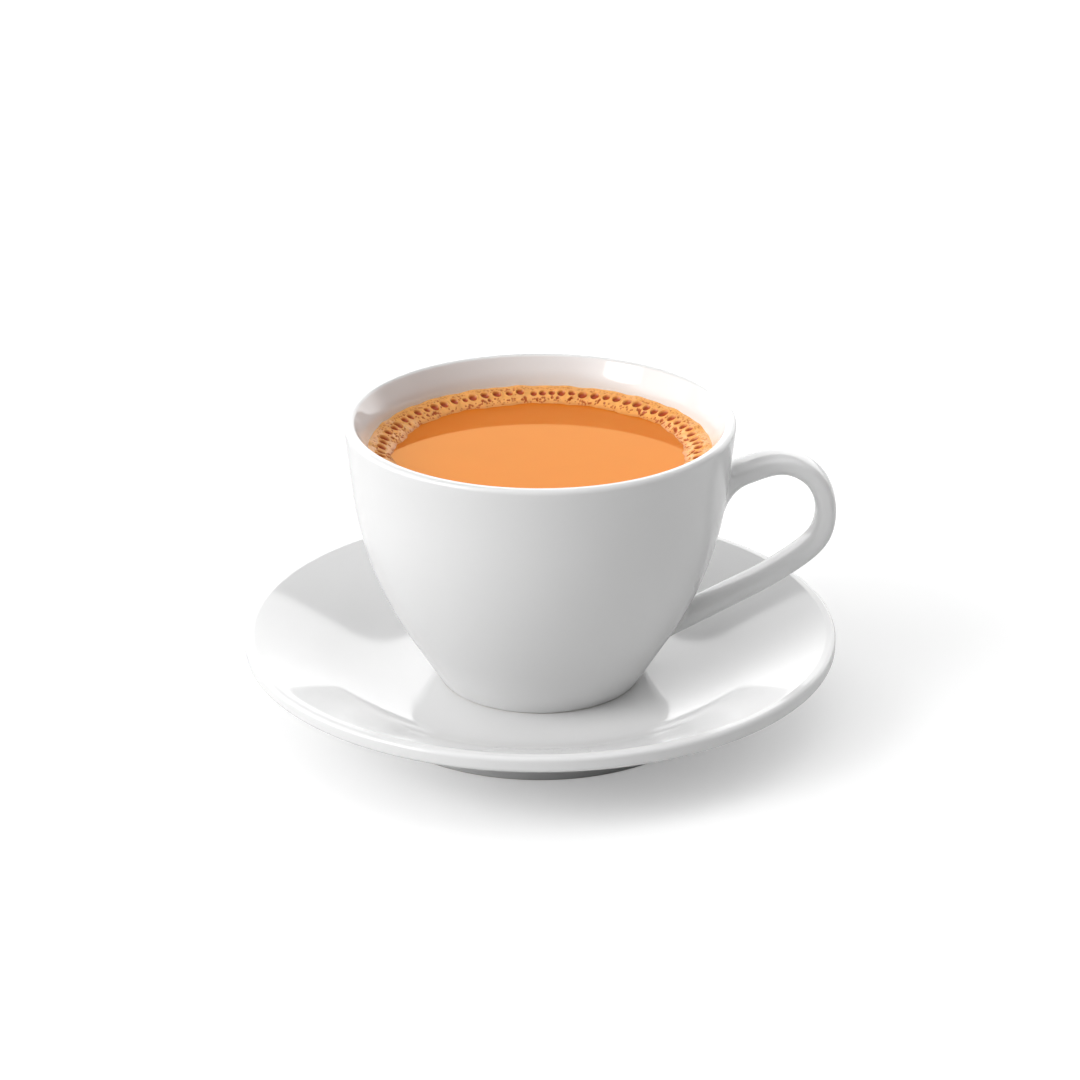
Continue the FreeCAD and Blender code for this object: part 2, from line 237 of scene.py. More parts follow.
def smooth_step(low, high, value):
    """0 below low, 1 above high and 3t^2 - 2t^3 between."""
    share = np.clip((value - low) / (high - low), 0, 1)
    return share * share * (3 - 2 * share)


def waves(angle, terms):
    """Sum of height times sin(count a + shift) over terms (count, shift, height in mm)."""
    return sum(height * np.sin(count * angle + shift) for count, shift, height in terms) * MM


# ---------------------------------------------------------------- mesh helpers

def grid_faces(rows, columns, wrap_rows=False, first=0):
    """Quads of a grid whose columns close round, and whose rows may close too."""
    row = np.arange(rows if wrap_rows else rows - 1)[:, None]
    column = np.arange(columns)[None, :]
    next_row, next_column = (row + 1) % rows, (column + 1) % columns
    corners = [row * columns + column, row * columns + next_column,
               next_row * columns + next_column, next_row * columns + column]
    return np.stack([corner + 0 * row + 0 * column for corner in corners],
                    axis=-1).reshape(-1, 4) + first


def fan_faces(ring_start, columns, tip, towards_tip):
    """Triangles that close a ring of points onto one tip."""
    here = ring_start + np.arange(columns)
    after = ring_start + (np.arange(columns) + 1) % columns
    tips = np.full(columns, tip)
    order = (after, here, tips) if towards_tip else (here, after, tips)
    return np.stack(order, axis=-1)


def shell(grid, caps=True):
    """Points and faces of a tube-like grid (rows, columns, 3), its two ends closed by fans."""
    rows, columns, _ = grid.shape
    points = grid.reshape(-1, 3)
    if not caps:
        return points, [grid_faces(rows, columns, wrap_rows=True)]
    ends = np.stack([grid[0].mean(axis=0), grid[-1].mean(axis=0)])
    tip = len(points)
    return np.concatenate([points, ends]), [
        grid_faces(rows, columns), fan_faces(0, columns, tip, True),
        fan_faces((rows - 1) * columns, columns, tip + 1, False)]


def enclosed_volume(points, faces):
    """Signed volume: a sixth of the triple products of the fan triangles of every face."""
    total = 0.0
    for group in faces:
        base = points[group[:, 0]]
        for second, third in zip(range(1, group.shape[1] - 1), range(2, group.shape[1])):
            cross = np.cross(points[group[:, second]], points[group[:, third]])
            total += np.einsum("ij,ij->", base, cross) / 6
    return total


def add_piece(name, shells, materials, node, pick=None):
    """Make one mesh object of closed shells, faces outwards, and give it to the frame."""
    all_points, groups, start = [], [], 0
    for points, faces in shells:
        outward = enclosed_volume(points, faces) > 0
        groups += [(group if outward else group[:, ::-1]) + start for group in faces]
        all_points.append(points)
        start += len(points)
    points = np.concatenate(all_points)
    sizes = np.concatenate([np.full(len(group), group.shape[1]) for group in groups])
    corners = np.concatenate([group.ravel() for group in groups])
    mesh = bpy.data.meshes.new(name)
    mesh.vertices.add(len(points))
    mesh.vertices.foreach_set("co", points.astype(np.float32).ravel())
    mesh.loops.add(len(corners))
    mesh.loops.foreach_set("vertex_index", corners.astype(np.int32))
    mesh.polygons.add(len(sizes))
    mesh.polygons.foreach_set("loop_start", (np.cumsum(sizes) - sizes).astype(np.int32))
    mesh.update(calc_edges=True)
    mesh.polygons.foreach_set("use_smooth", np.ones(len(sizes), bool))
    for material in materials:
        mesh.materials.append(material)
    if pick is not None:
        first_corner = points[corners[np.cumsum(sizes) - sizes]]
        mesh.polygons.foreach_set("material_index", pick(first_corner).astype(np.int32))
    if mesh.validate():
        raise RuntimeError(f"{name} had faces that don't hold")
    piece = bpy.data.objects.new(name, mesh)
    bpy.context.scene.collection.objects.link(piece)
    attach(piece, "root")
    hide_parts(node)
    return piece


def add_tone(piece, name, values):
    """Store one number per point for the material to read."""
    attribute = piece.data.attributes.new(name, "FLOAT", "POINT")
    attribute.data.foreach_set("value", values.astype(np.float32).ravel())


# ------------------------------------------------------------------- materials

def add_node(tree, kind, inputs=(), **settings):
    """Add a node, set its properties, and fill its sockets with values or links."""
    made = tree.nodes.new(kind)
    for name, value in settings.items():
        setattr(made, name, value)
    for socket, value in dict(inputs).items():
        if isinstance(value, bpy.types.NodeSocket):
            tree.links.new(value, made.inputs[socket])
        else:
            made.inputs[socket].default_value = value
    return made


def new_material(name):
    """An empty node material: its tree and its output node."""
    material = bpy.data.materials.new(name)
    material.use_nodes = True
    material.node_tree.nodes.clear()
    return material, material.node_tree


def finish_material(tree, shader):
    """Send a shader to the material's output."""
    add_node(tree, "ShaderNodeOutputMaterial", {"Surface": shader.outputs[0]})


def rgba(colour):
    """A linear colour with full opacity."""
    return (*colour, 1.0)


def noise(tree, size, detail, **more):
    """Noise over the piece, its patches about size across."""
    place = add_node(tree, "ShaderNodeTexCoord").outputs["Object"]
    return add_node(tree, "ShaderNodeTexNoise", {
        "Vector": place, "Scale": 1 / size, "Detail": detail, **more}).outputs[0]


def relief(tree, height, strength, distance):
    """Bend the surface normal as if the noise were a relief of the given depth."""
    return add_node(tree, "ShaderNodeBump", {
        "Height": height, "Strength": strength, "Distance": distance}).outputs[0]


def mottled(tree, colour, cloud, low, high):
    """A colour scaled from low to high as the noise runs through its middle range."""
    share = add_node(tree, "ShaderNodeMapRange", {
        "Value": cloud, "From Min": 0.3, "From Max": 0.7, "To Min": low, "To Max": high})
    return add_node(tree, "ShaderNodeVectorMath", {0: colour, "Scale": share.outputs[0]},
                    operation="SCALE").outputs[0]


# Refractive indices: glaze, the fat film on milk tea, and the wet walls of its foam.
GLAZE_INDEX, FILM_INDEX, FOAM_INDEX = 1.52, 1.345, 1.34


def glazed_porcelain(colours):
    """White porcelain, cast and glazed: bright body colour under a clear, mirror-like glaze
    whose slow waviness bends the reflections a little."""
    material, tree = new_material("glazed porcelain")
    wave = noise(tree, 35 * MM, 1.0, Roughness=0.4)
    shader = add_node(tree, "ShaderNodeBsdfPrincipled", {
        "Base Color": rgba(colours.porcelain), "Roughness": 0.07, "IOR": GLAZE_INDEX,
        "Normal": relief(tree, wave, 0.12, 0.6 * MM)})
    finish_material(tree, shader)
    return material


def biscuit_porcelain(colours):
    """Unglazed standing ring, wiped clean before firing: dull, slightly warm and fine-grained."""
    material, tree = new_material("biscuit porcelain")
    grain = noise(tree, 0.6 * MM, 3.0)
    shader = add_node(tree, "ShaderNodeBsdfPrincipled", {
        "Base Color": rgba(colours.biscuit), "Roughness": 0.75,
        "Normal": relief(tree, grain, 0.4, 0.08 * MM)})
    finish_material(tree, shader)
    return material


def porcelain_finishes(colours):
    """The glaze and the bare biscuit, made once and shared by the saucer and the cup."""
    return [bpy.data.materials.get("glazed porcelain") or glazed_porcelain(colours),
            bpy.data.materials.get("biscuit porcelain") or biscuit_porcelain(colours)]


def milky_tea(colours):
    """Boiled milk tea: opaque warm orange whose light spreads just under the surface, with
    slow clouds of cream, under a wet film of butterfat that mirrors the room warmly."""
    material, tree = new_material("milky tea")
    cloud = noise(tree, 22 * MM, 2.0, Distortion=0.6)
    body = add_node(tree, "ShaderNodeBsdfPrincipled", {
        "Base Color": mottled(tree, colours.chai, cloud, 0.985, 1.015),
        "Roughness": 1.0, "Specular IOR Level": 0.0,
        "Subsurface Weight": 0.35, "Subsurface Scale": 2 * MM,
        "Subsurface Radius": (1.0, 0.45, 0.15)})
    film = add_node(tree, "ShaderNodeBsdfGlossy", {"Color": rgba(colours.film),
                                                   "Roughness": 0.04})
    mirrored = add_node(tree, "ShaderNodeFresnel", {"IOR": FILM_INDEX})
    shader = add_node(tree, "ShaderNodeMixShader", {
        0: mirrored.outputs[0], 1: body.outputs[0], 2: film.outputs[0]})
    finish_material(tree, shader)
    return material


def tea_foam(colours):
    """Wet foam: cream-coloured walls of tiny bubbles, with the darker tea showing in every
    open bubble.  The tone attribute is 0 in a bubble and 1 on the foam between them."""
    material, tree = new_material("tea foam")
    tone = add_node(tree, "ShaderNodeAttribute", attribute_name="tone").outputs["Fac"]
    grain = noise(tree, 1.1 * MM, 2.0)
    colour = add_node(tree, "ShaderNodeMix", {
        "Factor": tone, "A": rgba(colours.bubble),
        "B": mottled(tree, colours.foam, grain, 0.9, 1.06)}, data_type="RGBA")
    shader = add_node(tree, "ShaderNodeBsdfPrincipled", {
        "Base Color": colour.outputs["Result"], "Roughness": 0.22, "IOR": FOAM_INDEX,
        "Subsurface Weight": 0.2, "Subsurface Scale": 0.8 * MM,
        "Subsurface Radius": (1.0, 0.6, 0.3)})
    finish_material(tree, shader)
    return material


TABLE_GLOW = 0.30


def lit_table(colours):
    """Matt white acrylic table lit from below: the glow that reaches the lens softens the
    contact shadow, and it has no gloss."""
    material, tree = new_material("lit acrylic table")
    sight = add_node(tree, "ShaderNodeLightPath").outputs["Is Camera Ray"]
    glow = add_node(tree, "ShaderNodeMath", {0: sight, 1: TABLE_GLOW}, operation="MULTIPLY")
    shader = add_node(tree, "ShaderNodeBsdfPrincipled", {
        "Base Color": rgba(colours.floor), "Roughness": 0.95, "Specular IOR Level": 0.1,
        "Emission Color": (1, 1, 1, 1), "Emission Strength": glow.outputs[0]})
    finish_material(tree, shader)
    return material


# ------------------------------------------------------------------- sections

def saucer_outline(sizes):
    """Half section of the saucer as (across, up), from the top of the axis down and round."""
    low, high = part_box("saucer")
    top = high.z
    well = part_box("cup")[0].z
    underside = well - sizes.plate
    inner_lip = sizes.radius - sizes.lip
    lean = math.atan2(top - well, inner_lip - sizes.slope_radius)
    under = sizes.slope_radius + sizes.plate * math.tan(lean / 2)
    lip_base = underside + (sizes.radius - under) * math.tan(lean)
    ring_top = underside + (sizes.ring_radius + sizes.ring_draft - under) * math.tan(lean)
    ring_in = sizes.ring_radius - sizes.ring_width
    outline = round_corners([
        (0, well, 0), (0, underside, 0),
        (ring_in - sizes.ring_draft, underside, sizes.ring_round),
        (ring_in, low.z, sizes.ring_round),
        (sizes.ring_radius, low.z, sizes.ring_round),
        (sizes.ring_radius + sizes.ring_draft, ring_top, sizes.ring_round),
        (sizes.radius, lip_base, sizes.lip_round),
        (sizes.radius, top, sizes.lip_round),
        (inner_lip, top, sizes.lip_round),
        (sizes.slope_radius, well, sizes.slope_round)])
    return np.concatenate([outline[1:], outline[:1]])


def cup_angles(sizes, height):
    """Leans from upright of the lower and the upper wall line."""
    lower = math.atan2(sizes.belly_radius - sizes.foot_radius, sizes.belly_height)
    upper = math.atan2(sizes.rim_radius - sizes.belly_radius, height - sizes.belly_height)
    return lower, upper


def inner_wall(sizes, height, up):
    """Inner radius of the upper wall at a height above the base of a cup of some height."""
    _, upper = cup_angles(sizes, height)
    return (sizes.belly_radius + (up - sizes.belly_height) * math.tan(upper)
            - sizes.wall / math.cos(upper))


def cavity_corners(sizes, base, height, inset=0.0):
    """Corners of the cavity's floor and belly; inset moves them into the wall."""
    lower, upper = cup_angles(sizes, height)
    wall = sizes.wall - inset
    floor = sizes.floor - inset
    middle, half = (lower + upper) / 2, (lower - upper) / 2
    across = sizes.foot_radius + floor * math.tan(lower) - wall / math.cos(lower)
    return [
        (0, base + floor, 0), (across, base + floor, sizes.floor_round),
        (sizes.belly_radius - wall * math.cos(middle) / math.cos(half),
         base + sizes.belly_height + wall * math.sin(middle) / math.cos(half),
         sizes.belly_round - wall)]


def cup_outline(sizes):
    """Half section of the cup: base, outside, lip, inside and floor, as (across, up)."""
    low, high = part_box("cup")
    base, height = low.z, high.z - low.z
    foot_in = sizes.foot_radius - sizes.foot_width
    shoulder = height - sizes.shoulder_depth
    recess_round, ring_round = 0.4 * MM, 0.3 * MM
    return round_corners([
        (0, base + sizes.foot_recess, 0),
        (foot_in - sizes.foot_recess / 2, base + sizes.foot_recess, recess_round),
        (foot_in, base, ring_round),
        (sizes.foot_radius, base, sizes.foot_round),
        (sizes.belly_radius, base + sizes.belly_height, sizes.belly_round),
        (sizes.rim_radius, high.z, sizes.lip_round),
        (sizes.rim_radius - sizes.lip, high.z, sizes.lip_round),
        (inner_wall(sizes, height, shoulder), base + shoulder, sizes.shoulder_round),
    ] + cavity_corners(sizes, base, height)[::-1])


def wall_radius(sizes, up):
    """Outer radius of the cup's wall at heights above the table."""
    outline = cup_outline(sizes)
    widest = int(np.argmax(outline[:, 0]))
    lowest = int(np.argmin(outline[:widest, 1]))
    outside = outline[lowest:widest + 1]
    return np.interp(up, outside[:, 1], outside[:, 0])


# Two places on the upper arm, as distances from its root, and turns on the round crown.
UPPER_ARM = (3.5 * MM, 7.8 * MM)
CROWN_TURNS = np.radians([90, 45, 0, -28])
# At the stations from the upper root to the lower: how much thicker the strap is in mm, and
# the share of the root bulge that widens it.
STRAP_THICKER = [0.6, 0.6, 0.5, 0.1, 0, 0, 0, 0, 0, 0.2, 0.3]
STRAP_WIDER = [1, 1, 1, 0.5, 0.2, 0, 0, 0, 0, 0.2, 0.6]
# Power of the strap's section, and where the free strap starts and stops: before the third
# station and before the last one.
STRAP_POWER, STRAP_START, STRAP_STOP = 2.8, 1.0 * MM, 10.5 * MM
# Fillets at the roots in mm, each as (usual, more on the loop's outside, more on its inside):
# where they start on the strap and where they end on the wall.
UPPER_FILLET = ((2.6, -1.1, 4.4), (2.0, -0.8, 6.4))
LOWER_FILLET = ((2.8, 0.6, 2.6), (1.8, 0.6, 1.6))


def handle_stations(cup, sizes):
    """Places (across, up) on the handle's middle line, with its thickness and width there."""
    low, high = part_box("cup")
    base = low.z
    crown = np.array([cup.rim_radius + sizes.reach - sizes.crown_width, high.z - sizes.drop])
    upper = np.array([cup.rim_radius - sizes.depth, high.z - sizes.upper_drop])
    slant = np.array([math.cos(sizes.upper_lean), math.sin(sizes.upper_lean)])
    lower_angle, _ = cup_angles(cup, high.z - base)
    root = np.array([cup.foot_radius + sizes.lower_height * math.tan(lower_angle),
                     base + sizes.lower_height])
    arm = np.array([math.cos(sizes.lower_lean), math.sin(sizes.lower_lean)])
    half = np.array([sizes.crown_width, sizes.crown_height])
    ring = crown + np.stack([np.cos(CROWN_TURNS), np.sin(CROWN_TURNS)], axis=1) * half
    heel = np.array([cup.rim_radius + sizes.reach - sizes.heel_inset, crown[1] - sizes.heel_drop])
    places = np.concatenate([
        [upper, upper + slant * UPPER_ARM[0], upper + slant * UPPER_ARM[1]], ring,
        [heel, root + arm * sizes.lower_run, root + arm * sizes.lower_run / 2,
         root - arm * sizes.depth]])
    thickness = sizes.thickness + np.array(STRAP_THICKER) * MM
    return places, thickness, sizes.width + np.array(STRAP_WIDER) * sizes.bulge


def strap_rings(cup, sizes, columns=56, rows=150):
    """Rings of the free strap: superellipses |a|^p + |b|^p = 1 square to a smooth middle line.

    Returns the rings, the unit direction of the line at both ends, and how far out each
    column lies (1 on the loop's outside, -1 on its inside).
    """
    places, thickness, width = handle_stations(cup, sizes)
    steps = np.linalg.norm(np.diff(places, axis=0), axis=1)
    knots = np.concatenate([[0], np.cumsum(steps)])
    along = np.linspace(knots[2] - STRAP_START, knots[-1] - STRAP_STOP, rows)
    values = np.concatenate([places, thickness[:, None], width[:, None]], axis=1)
    found = natural_spline(knots, values, along)
    tangent = np.gradient(found[:, :2], along, axis=0)
    tangent /= np.linalg.norm(tangent, axis=1)[:, None]
    normal = np.stack([-tangent[:, 1], tangent[:, 0]], axis=1)
    angle = np.arange(columns) / columns * TURN
    out, side = (np.sign(part) * np.abs(part) ** (2 / STRAP_POWER)
                 for part in (np.cos(angle), np.sin(angle)))
    across = found[:, None, :2] + normal[:, None] * (out * found[:, 2:3] / 2)[..., None]
    aside = side * found[:, 3:4] / 2
    rings = np.stack([across[..., 0], aside, across[..., 1]], axis=-1)
    ends = [np.array([tangent[0, 0], 0, tangent[0, 1]]) * -1,
            np.array([tangent[-1, 0], 0, tangent[-1, 1]])]
    return rings, ends, out


def root_rings(cup, ring, direction, spread_strap, spread_wall, rows=16, straight_rows=5):
    """Rings that melt a strap's end into the cup's wall.

    Each generator meets the wall at C.  The fillet is the parabola (Bezier curve) that leaves
    the strap a stretch before C, bends at C and lies in the wall a stretch away from C.
    """
    search, halvings = 40 * MM, 40
    slope_step, into_wall, sunk_depth = 0.1 * MM, 0.03 * MM, 1.5 * MM
    reach = np.zeros(len(ring))
    far = np.full(len(ring), search)
    for _ in range(halvings):
        middle = (reach + far) / 2
        point = ring + direction * middle[:, None]
        outside = np.hypot(point[:, 0], point[:, 1]) > wall_radius(cup, point[:, 2])
        reach, far = np.where(outside, middle, reach), np.where(outside, far, middle)
    meet = ring + direction * reach[:, None]
    start = meet - direction * np.minimum(spread_strap, reach * 0.999)[:, None]
    slope = (wall_radius(cup, meet[:, 2] + slope_step)
             - wall_radius(cup, meet[:, 2])) / slope_step
    flat = meet[:, :2] / np.hypot(meet[:, 0], meet[:, 1])[:, None]
    normal = np.concatenate([flat, -slope[:, None]], axis=1)
    normal /= np.linalg.norm(normal, axis=1)[:, None]
    away = meet - meet.mean(axis=0)
    away -= normal * np.einsum("ij,ij->i", away, normal)[:, None]
    away /= np.linalg.norm(away, axis=1)[:, None]
    end = meet + away * spread_wall[:, None]
    seat = wall_radius(cup, end[:, 2]) - into_wall
    end[:, :2] *= (seat / np.hypot(end[:, 0], end[:, 1]))[:, None]
    share = np.linspace(0, 1, rows)[:, None, None]
    bend = (1 - share) ** 2 * start + 2 * share * (1 - share) * meet + share ** 2 * end
    run = np.linspace(0, 1, straight_rows, endpoint=False)[:, None, None]
    straight = ring + (start - ring) * run
    sunk = end - normal * sunk_depth
    return np.concatenate([straight, bend, sunk[None]])


def handle_shell(cup, sizes):
    """The strap with its two melted roots as one closed shell."""
    rings, (to_upper, to_lower), out = strap_rings(cup, sizes)
    outer, inner = np.clip(out, 0, 1) ** 2, np.clip(-out, 0, 1) ** 2
    upper, lower = (
        root_rings(cup, ring, direction, *[(usual + more_out * outer + more_in * inner) * MM
                                           for usual, more_out, more_in in fillet])
        for ring, direction, fillet in ((rings[0], to_upper, UPPER_FILLET),
                                        (rings[-1], to_lower, LOWER_FILLET)))
    return shell(np.concatenate([upper[:0:-1], rings, lower[1:]]))


# ---------------------------------------------------------------------- froth

# Smaller bubbles, group by group: how many, how far in from the wall and how scattered (mm),
# smallest and largest size (mm), depth as a share of the radius, and how pale they are.
SMALL_BUBBLES = (
    (150, 4.6, 0.25, 0.55, 1.05, 0.7, 0.08),
    (280, 5.2, 0.4, 0.35, 0.65, 0.6, 0.12),
    (420, 5.8, 0.6, 0.26, 0.5, 0.6, 0.2),
    (260, 3.0, 0.5, 0.3, 0.7, 0.6, 0.15),
    (160, 1.7, 0.25, 0.4, 0.8, 0.6, 0.2),
    (900, 0.9, 0.4, 0.22, 0.42, 0.5, 0.45),
)
# Large bubbles: share of their width that one takes up with its gap, limits of their size,
# limits of a gap as shares of the widest usual one, that gap, scatter and depth.
LARGE_PITCH, LARGE_LIMITS, LARGE_SPREAD = 1.36, (0.62, 1.25), 0.13
GAP_LIMITS, WIDEST_GAP, LARGE_SCATTER, LARGE_DEPTH = (0.35, 1.15), 0.38, 0.18 * MM, 0.75
# How far a smaller bubble keeps from a large one, as a multiple of their mean width.
CLEARANCE = 1.08
# Uneven inner edge and uneven top of the froth, as (waves round the ring, shift, height in mm).
EDGE_WAVES = ((7, 1.0, 0.35), (13, 2.2, 0.3), (29, 0.4, 0.2), (61, 0, 0.12))
TOP_WAVES = ((23, 0, 0.10), (41, 1, 0.08))


def bubble_rows(angle, across, size, depth, pale):
    """Columns or single values put together as one row for every bubble."""
    return np.stack(np.broadcast_arrays(angle, across, size, depth, pale), axis=1)


def bubble_layout(cup, drink):
    """Bubbles of the froth as rows (angle, radius, size, depth share, paleness).

    One row of large bubbles runs along the wall, their places given by adding up their
    widths and the gaps between them.  Smaller ones fill in towards the middle, and the
    smallest ones lie between the row and the wall.
    """
    low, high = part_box("cup")
    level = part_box("chai")[1].z
    edge = inner_wall(cup, high.z - low.z, level - low.z)
    random = np.random.default_rng(drink.seed)
    row = edge - drink.row_inset
    count = int(TURN * row / (drink.large_bubble * LARGE_PITCH))
    size = drink.large_bubble * np.clip(random.normal(1.0, LARGE_SPREAD, count), *LARGE_LIMITS)
    gap = random.uniform(*GAP_LIMITS, count) * drink.large_bubble * WIDEST_GAP
    pitch = size + gap
    angle = np.cumsum(pitch) / pitch.sum() * TURN
    across = row + random.normal(0, LARGE_SCATTER, count)
    large = bubble_rows(angle, across, size, LARGE_DEPTH, 0.0)
    result = [large]
    for number, inset, scatter, smallest, largest, depth, pale in SMALL_BUBBLES:
        angle = random.uniform(0, TURN, number)
        across = edge - (inset + random.normal(0, scatter, number)) * MM
        size = random.uniform(smallest, largest, number) * MM
        away = np.abs((angle[:, None] - large[None, :, 0] + math.pi) % TURN - math.pi)
        apart = np.hypot(away * row, across[:, None] - large[None, :, 1])
        needed = 0.5 * (large[None, :, 2] + size[:, None]) * CLEARANCE
        clear = (apart > needed).all(axis=1)
        result.append(bubble_rows(angle, across, size, depth, pale)[clear])
    return np.concatenate(result), edge, level


def froth_width(angle, usual):
    """Width of the froth ring: wider at the back (+Y), narrower at the sides, uneven."""
    back, wider = np.clip(np.sin(angle), 0, 1) ** 2, 0.4 * MM
    return usual + wider * back + waves(angle, EDGE_WAVES)


def froth_surface(cup, drink, columns=1560, rows=56):
    """Top of the froth on a polar grid, with its tone.

    The bed climbs to the wall as 1 - (1 - share)^climb.  A bubble is a round pit, depth times
    sqrt(1 - d^2) inside it, with a thin raised rim that falls off as a bell curve; d is the
    distance from its middle in bubble radii.
    """
    bubbles, edge, level = bubble_layout(cup, drink)
    into_wall, dip, climb = 0.35 * MM, 0.12 * MM, 1.8
    rim_place, rim_width, rim_height, rim_reach = 1.12, 0.16, 0.09, 1.7
    hole_edge, edge_fade, edge_tone, tone_fade = (0.8, 1.06), 0.1, 0.55, 0.22
    angle = np.arange(columns) / columns * TURN
    share = np.linspace(0, 1, rows)[:, None]
    outer, inner = edge + into_wall, edge - froth_width(angle, drink.froth_width)
    radius = inner + (outer - inner) * share
    height = (level - dip + drink.froth_rise * (1 - (1 - share) ** climb)
              + waves(angle, TOP_WAVES) * share)
    tone = np.ones_like(radius)
    lift = np.zeros_like(radius)
    column_step = TURN / columns
    for around, across, size, depth, pale in bubbles:
        half = int(math.ceil(size * 0.5 * rim_reach / (across * column_step))) + 1
        middle = int(round(around / column_step))
        picked = (np.arange(middle - half, middle + half + 1)) % columns
        away = (angle[picked] - around + math.pi) % TURN - math.pi
        distance = np.hypot(away * across, radius[:, picked] - across) / (size / 2)
        pit = np.sqrt(np.clip(1 - distance ** 2, 0, 1))
        rim = np.exp(-((distance - rim_place) / rim_width) ** 2)
        lift[:, picked] += -pit * depth * size * 0.5 + rim * size * rim_height
        inside = 1 - smooth_step(*hole_edge, distance)
        tone[:, picked] = np.minimum(tone[:, picked], 1 - inside * (1 - pale))
    fade = smooth_step(0, edge_fade, share)
    height = height + lift * fade
    tone = 1 - (1 - tone) * fade
    tone = tone * (edge_tone + (1 - edge_tone) * smooth_step(0.0, tone_fade, share))
    top = np.stack([radius * np.cos(angle), radius * np.sin(angle), height], axis=-1)
    return top, tone, level


def froth_shell(cup, drink):
    """Closed ring: the froth's top, then its outside and underside, sunk into wall and tea."""
    top, tone, level = froth_surface(cup, drink)
    sunk, hidden_tone = 0.5 * MM, 0.5
    under = top[[-1, 0]]
    under[..., 2] = level - sunk
    ring = shell(np.concatenate([top, under]), caps=False)
    return ring, np.concatenate([tone, np.full((2, tone.shape[1]), hidden_tone)])


# ------------------------------------------------------------------ operators

# Columns round the saucer and round the cup, and how high their unglazed standing rings reach.
SAUCER_COLUMNS, CUP_COLUMNS = 288, 256
BARE_SAUCER, BARE_CUP = 0.25 * MM, 0.15 * MM


class CHAI_OT_saucer(bpy.types.Operator):
    """Make the porcelain saucer"""
    bl_idname = "chai.saucer"
    bl_label = "Make saucer"

    def execute(self, context):
        scene = context.scene
        outline = fill_runs(saucer_outline(scene.chai_saucer))
        body = shell(turned(outline[1:-1], SAUCER_COLUMNS))
        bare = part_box("saucer")[0].z + BARE_SAUCER
        add_piece("saucer_porcelain", [body], porcelain_finishes(scene.chai_colours), "saucer",
                  pick=lambda place: place[:, 2] < bare)
        return {"FINISHED"}


class CHAI_OT_cup(bpy.types.Operator):
    """Make the porcelain cup with its handle"""
    bl_idname = "chai.cup"
    bl_label = "Make cup"

    def execute(self, context):
        scene = context.scene
        outline = fill_runs(cup_outline(scene.chai_cup))
        body = shell(turned(outline[1:-1], CUP_COLUMNS))
        handle = handle_shell(scene.chai_cup, scene.chai_handle)
        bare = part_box("cup")[0].z + BARE_CUP
        add_piece("cup_porcelain", [body, handle], porcelain_finishes(scene.chai_colours),
                  "cup", pick=lambda place: place[:, 2] < bare)
        return {"FINISHED"}


class CHAI_OT_drink(bpy.types.Operator):
    """Make the chai up to its level"""
    bl_idname = "chai.drink"
    bl_label = "Make chai"

    def execute(self, context):
        scene = context.scene
        cup = scene.chai_cup
        low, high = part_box("cup")
        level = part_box("chai")[1].z
        height = high.z - low.z
        inset, creep, meniscus = 0.3 * MM, (0.1 * MM, 0.5 * MM), (2.2 * MM, 1.5 * MM)
        edge = inner_wall(cup, height, level - low.z) + inset
        outline = round_corners(cavity_corners(cup, low.z, height, inset) + [
            (edge + creep[0], level + creep[1], 0), (edge - meniscus[0], level, meniscus[1]),
            (0, level, 0)])
        body = shell(turned(fill_runs(outline, 1.0 * MM)[1:-1], CUP_COLUMNS))
        add_piece("chai_drink", [body], [milky_tea(scene.chai_colours)], "chai")
        return {"FINISHED"}


class CHAI_OT_froth(bpy.types.Operator):
    """Make the ring of froth with its bubbles"""
    bl_idname = "chai.froth"
    bl_label = "Make froth"

    def execute(self, context):
        scene = context.scene
        ring, tones = froth_shell(scene.chai_cup, scene.chai_drink)
        piece = add_piece("froth_foam", [ring], [tea_foam(scene.chai_colours)], "froth_ring")
        add_tone(piece, "tone", tones)
        return {"FINISHED"}


def aim(thing, target):
    """Turn a camera so that it looks at a point."""
    thing.rotation_euler = (Vector(target) - thing.location).to_track_quat("-Z", "Y").to_euler()


# Soft boxes round the cup: turn from the handle's side and height in degrees, brightness,
# and how far in degrees the box's edge and its full glow lie from its middle.
SOFT_BOXES = [
    (210, 33, 6.5, 13, 10), (210, 33, 2.27, 32, 8), (225, 60, 0.65, 32, 8),
    (180, 8, 2.70, 32, 8), (150, 33, 0.65, 32, 8), (30, 33, 0.50, 32, 8),
    (0, 60, 0.80, 32, 8), (315, 60, 0.32, 32, 8), (270, 60, 0.75, 32, 8),
    (0, 90, 1.03, 32, 8),
]
# White backdrop behind the cup: its top's height, how soft its top is, its brightness, and
# how far to the back a direction points where the sides of the backdrop fade in and out.
BACKDROP_TOP, BACKDROP_FADE, BACKDROP_GLOW = math.radians(32), math.radians(1.5), 2.3
BACKDROP_SIDES = (0.40, 0.70)
# Camera: place and the point it looks at in metres, focal length and sensor width in mm.
CAMERA_PLACE, CAMERA_AIM = (0, -0.6747, 0.3325), (0, 0, 0.04375)
CAMERA_LENS, CAMERA_SENSOR = 99.5, 36
TABLE_REACH = 3.0


